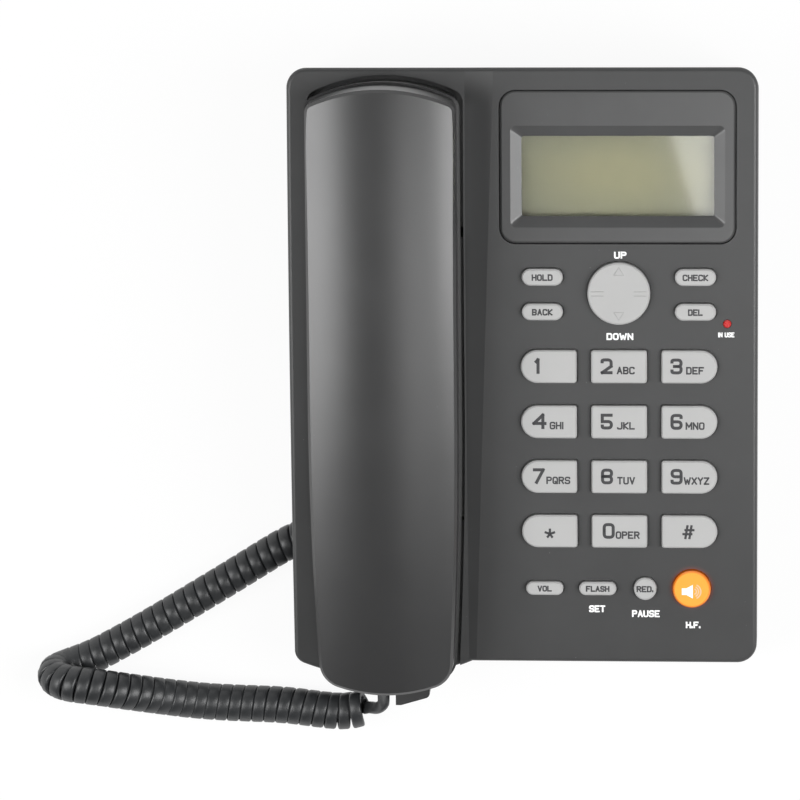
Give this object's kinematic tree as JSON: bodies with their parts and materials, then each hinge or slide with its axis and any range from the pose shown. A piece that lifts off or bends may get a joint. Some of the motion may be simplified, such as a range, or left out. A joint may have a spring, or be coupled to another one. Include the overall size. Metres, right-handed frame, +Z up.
{
  "type": "corded telephone",
  "caption": "Desk telephone with a tilted display panel, dial keys and a rocking disc on a sloping base, and a handset in a cradle with a curly cord.",
  "frame": {"origin": "middle of the telephone's plan, without its cord, on the desk under its feet", "axes": "+Z up, +Y to the rear (the display's end), +X to the right as seen by the user"},
  "size_m": [0.2595, 0.2376, 0.0837],
  "materials": {
    "case_plastic": "fine-textured charcoal",
    "key_plastic": "satin light grey",
    "speaker_key_plastic": "satin light grey",
    "panel_plastic": "satin dark grey",
    "clear_window": "clear",
    "lcd_glass": "grey-green",
    "inner_plastic": "plain black",
    "clear_plastic": "clear",
    "lamp_lens": "tinted",
    "board": "green solder mask",
    "silicone": "matte grey",
    "foot_rubber": "matte black",
    "steel": "zinc plated",
    "cord_plastic": "soft charcoal"
  },
  "bodies": {
    "base": {"top_housing": "case_plastic", "bottom_cover": "case_plastic", "rubber_feet": "foot_rubber", "base_screws": "steel", "display_panel": "panel_plastic", "display_window": "clear_window", "lcd_panel": "lcd_glass", "lcd_holder": "inner_plastic", "in_use_lamp": "lamp_lens", "keypad_board": "board", "keypad_board_screws": "steel", "keypad_membrane": "silicone", "main_board": "board", "main_board_screws": "steel", "line_jack": "inner_plastic", "base_cord_jack": "inner_plastic", "base_plug": "clear_plastic", "hook_switch": "inner_plastic", "loudspeaker": "inner_plastic", "speaker_ring": "inner_plastic", "base_microphone": "steel", "base_microphone_boot": "foot_rubber", "handset_cord": "cord_plastic"},
    "handset": {"handset_outer_shell": "case_plastic", "handset_inner_shell": "case_plastic", "receiver_capsule": "inner_plastic", "receiver_ring": "inner_plastic", "handset_microphone": "steel", "handset_microphone_boot": "foot_rubber", "handset_weight": "steel", "handset_jack": "inner_plastic", "handset_plug": "clear_plastic", "handset_screws": "steel"},
    "hook_plunger": {"hook_plunger": "case_plastic"},
    "navigation_disc": {"navigation_disc": "key_plastic"},
    "key_1": {"key_1": "key_plastic"},
    "key_2": {"key_2": "key_plastic"},
    "key_3": {"key_3": "key_plastic"},
    "key_4": {"key_4": "key_plastic"},
    "key_5": {"key_5": "key_plastic"},
    "key_6": {"key_6": "key_plastic"},
    "key_7": {"key_7": "key_plastic"},
    "key_8": {"key_8": "key_plastic"},
    "key_9": {"key_9": "key_plastic"},
    "key_star": {"key_star": "key_plastic"},
    "key_0": {"key_0": "key_plastic"},
    "key_hash": {"key_hash": "key_plastic"},
    "hold_key": {"hold_key": "key_plastic"},
    "check_key": {"check_key": "key_plastic"},
    "back_key": {"back_key": "key_plastic"},
    "delete_key": {"delete_key": "key_plastic"},
    "volume_key": {"volume_key": "key_plastic"},
    "flash_key": {"flash_key": "key_plastic"},
    "redial_key": {"redial_key": "key_plastic"},
    "speaker_key": {"speaker_key": "speaker_key_plastic"}
  },
  "joints": [
    {"name": "key_1_press", "type": "slide", "parent": "base", "child": "key_1", "axis": [0, -0.1495, 0.9888], "range_m": [-0.0012, 0], "stiffness_N_per_m": 500},
    {"name": "key_2_press", "type": "slide", "parent": "base", "child": "key_2", "axis": [0, -0.1495, 0.9888], "range_m": [-0.0012, 0], "stiffness_N_per_m": 500},
    {"name": "key_3_press", "type": "slide", "parent": "base", "child": "key_3", "axis": [0, -0.1495, 0.9888], "range_m": [-0.0012, 0], "stiffness_N_per_m": 500},
    {"name": "key_4_press", "type": "slide", "parent": "base", "child": "key_4", "axis": [0, -0.1495, 0.9888], "range_m": [-0.0012, 0], "stiffness_N_per_m": 500},
    {"name": "key_5_press", "type": "slide", "parent": "base", "child": "key_5", "axis": [0, -0.1495, 0.9888], "range_m": [-0.0012, 0], "stiffness_N_per_m": 500},
    {"name": "key_6_press", "type": "slide", "parent": "base", "child": "key_6", "axis": [0, -0.1495, 0.9888], "range_m": [-0.0012, 0], "stiffness_N_per_m": 500},
    {"name": "key_7_press", "type": "slide", "parent": "base", "child": "key_7", "axis": [0, -0.1495, 0.9888], "range_m": [-0.0012, 0], "stiffness_N_per_m": 500},
    {"name": "key_8_press", "type": "slide", "parent": "base", "child": "key_8", "axis": [0, -0.1495, 0.9888], "range_m": [-0.0012, 0], "stiffness_N_per_m": 500},
    {"name": "key_9_press", "type": "slide", "parent": "base", "child": "key_9", "axis": [0, -0.1495, 0.9888], "range_m": [-0.0012, 0], "stiffness_N_per_m": 500},
    {"name": "key_star_press", "type": "slide", "parent": "base", "child": "key_star", "axis": [0, -0.1495, 0.9888], "range_m": [-0.0012, 0], "stiffness_N_per_m": 500},
    {"name": "key_0_press", "type": "slide", "parent": "base", "child": "key_0", "axis": [0, -0.1495, 0.9888], "range_m": [-0.0012, 0], "stiffness_N_per_m": 500},
    {"name": "key_hash_press", "type": "slide", "parent": "base", "child": "key_hash", "axis": [0, -0.1495, 0.9888], "range_m": [-0.0012, 0], "stiffness_N_per_m": 500},
    {"name": "hold_key_press", "type": "slide", "parent": "base", "child": "hold_key", "axis": [0, -0.1495, 0.9888], "range_m": [-0.0012, 0], "stiffness_N_per_m": 500},
    {"name": "check_key_press", "type": "slide", "parent": "base", "child": "check_key", "axis": [0, -0.1495, 0.9888], "range_m": [-0.0012, 0], "stiffness_N_per_m": 500},
    {"name": "back_key_press", "type": "slide", "parent": "base", "child": "back_key", "axis": [0, -0.1495, 0.9888], "range_m": [-0.0012, 0], "stiffness_N_per_m": 500},
    {"name": "delete_key_press", "type": "slide", "parent": "base", "child": "delete_key", "axis": [0, -0.1495, 0.9888], "range_m": [-0.0012, 0], "stiffness_N_per_m": 500},
    {"name": "volume_key_press", "type": "slide", "parent": "base", "child": "volume_key", "axis": [0, -0.1495, 0.9888], "range_m": [-0.0012, 0], "stiffness_N_per_m": 500},
    {"name": "flash_key_press", "type": "slide", "parent": "base", "child": "flash_key", "axis": [0, -0.1495, 0.9888], "range_m": [-0.0012, 0], "stiffness_N_per_m": 500},
    {"name": "redial_key_press", "type": "slide", "parent": "base", "child": "redial_key", "axis": [0, -0.1495, 0.9888], "range_m": [-0.0012, 0], "stiffness_N_per_m": 500},
    {"name": "speaker_key_press", "type": "slide", "parent": "base", "child": "speaker_key", "axis": [0, -0.1495, 0.9888], "range_m": [-0.0012, 0], "stiffness_N_per_m": 500},
    {"name": "navigation_disc_rock", "type": "hinge", "parent": "base", "child": "navigation_disc", "pos_m": [0.034, 0.03459, 0.04869], "axis": [1, 0, 0], "range_deg": [-3, 3], "stiffness_Nm_per_rad": 0.2},
    {"name": "handset_lift", "type": "slide", "parent": "base", "child": "handset", "axis": [0, -0.1495, 0.9888], "range_m": [0, 0.06]},
    {"name": "hook_plunger_slide", "type": "slide", "parent": "base", "child": "hook_plunger", "axis": [0, -0.1495, 0.9888], "range_m": [0, 0.004]}
  ],
  "couplings": [
    {"joint": "hook_plunger_slide", "follows": "handset_lift", "ratio": 0.066666}
  ]
}
